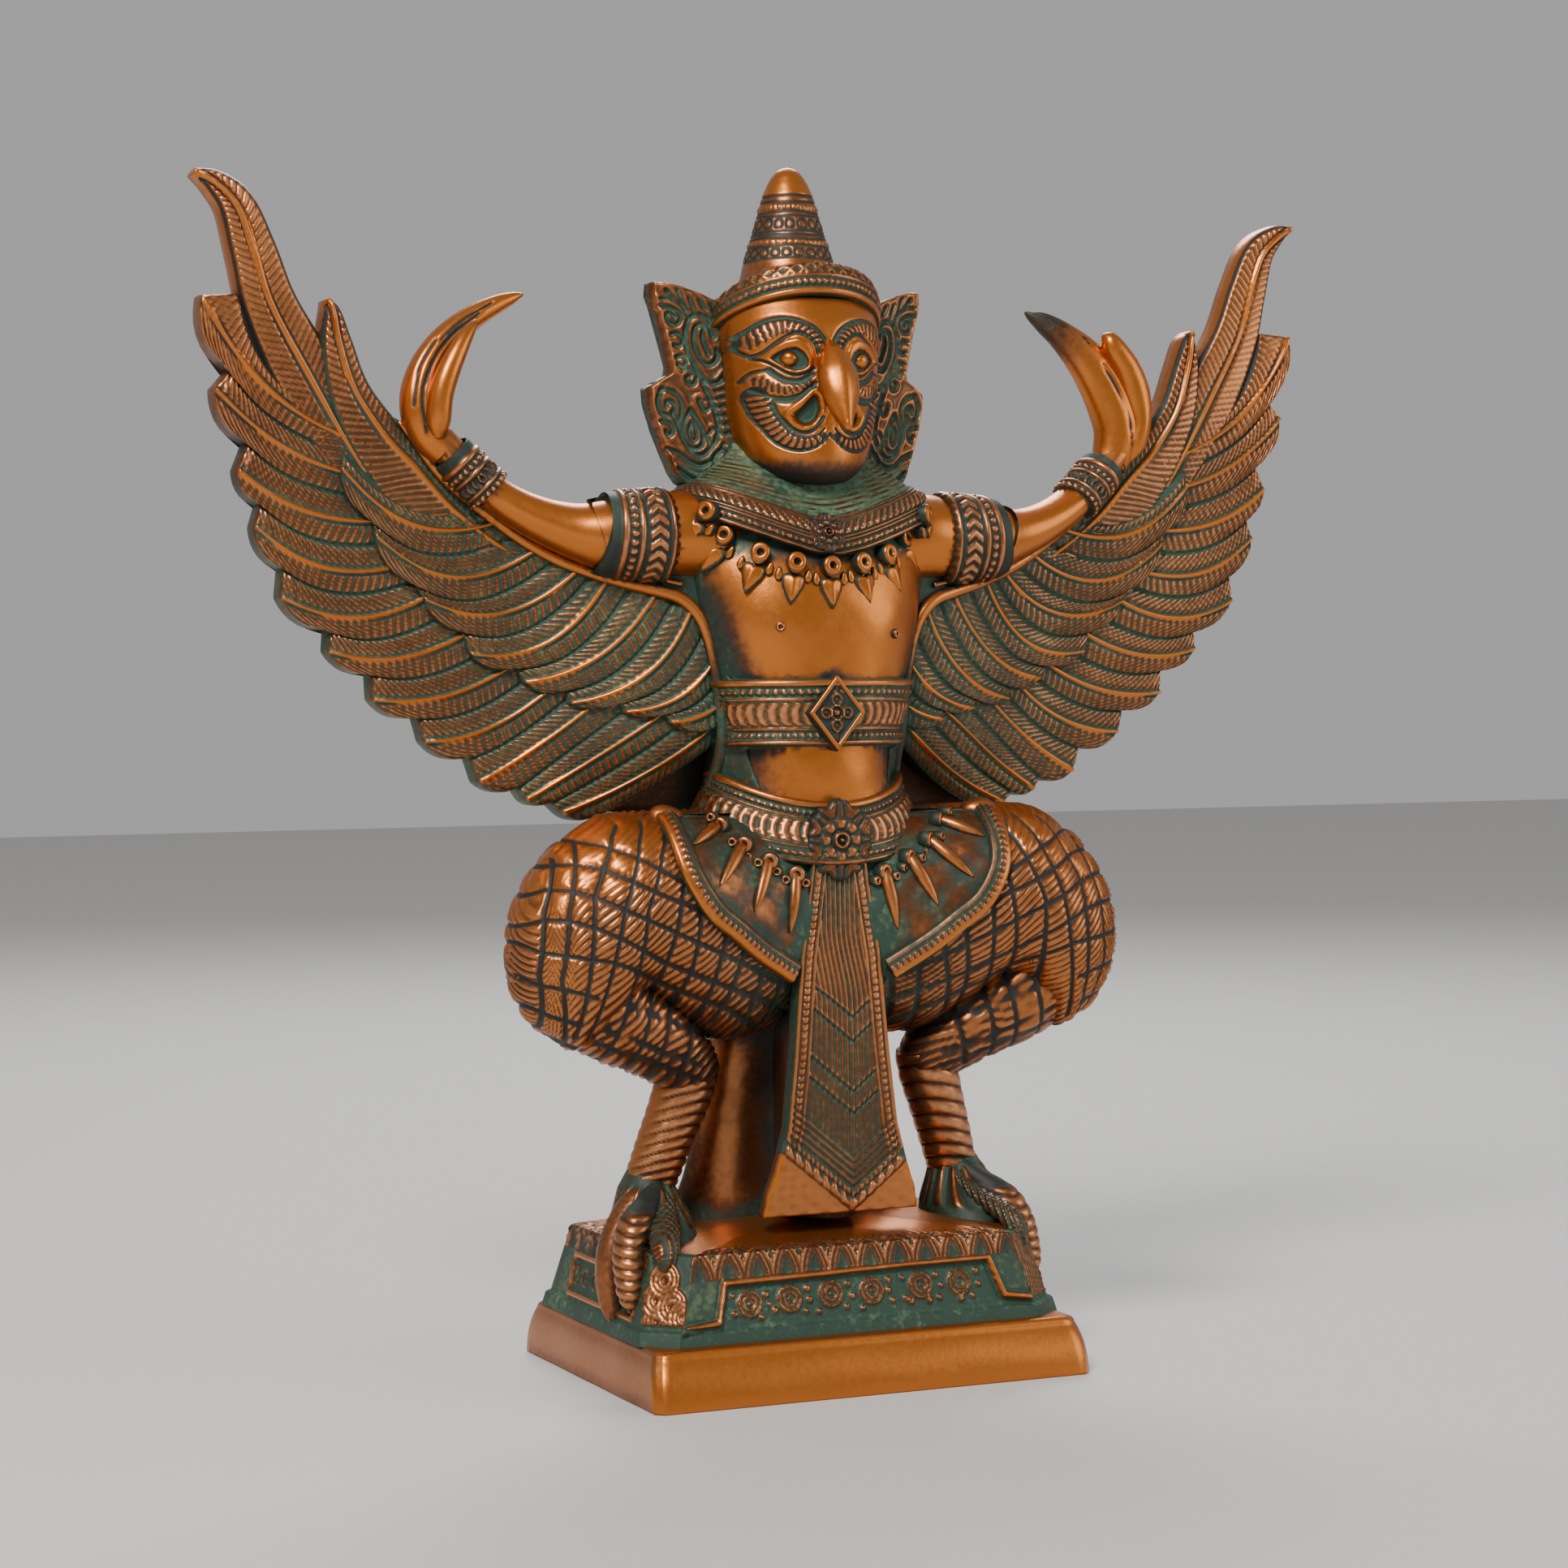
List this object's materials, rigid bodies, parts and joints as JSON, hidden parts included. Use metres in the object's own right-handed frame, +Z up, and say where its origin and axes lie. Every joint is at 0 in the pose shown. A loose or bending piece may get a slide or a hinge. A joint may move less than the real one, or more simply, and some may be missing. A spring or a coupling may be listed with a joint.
{
  "type": "garuda figure",
  "caption": "Cast metal garuda with a beaked mask, tall crown, raised arms and spread wings, built in one with its carved plinth; it stands on the plinth's flat underside.",
  "frame": {"origin": "middle of the plinth's underside, at the height of the surface it stands on", "axes": "+Z up, -Y towards the figure's front, +X towards the figure's own left hand"},
  "size_m": [0.456, 0.1434, 0.457],
  "materials": {
    "cast_metal": "satin, orange-brown patina that is green in the recesses"
  },
  "bodies": {
    "root": {"garuda_figure": "cast_metal"}
  },
  "joints": []
}
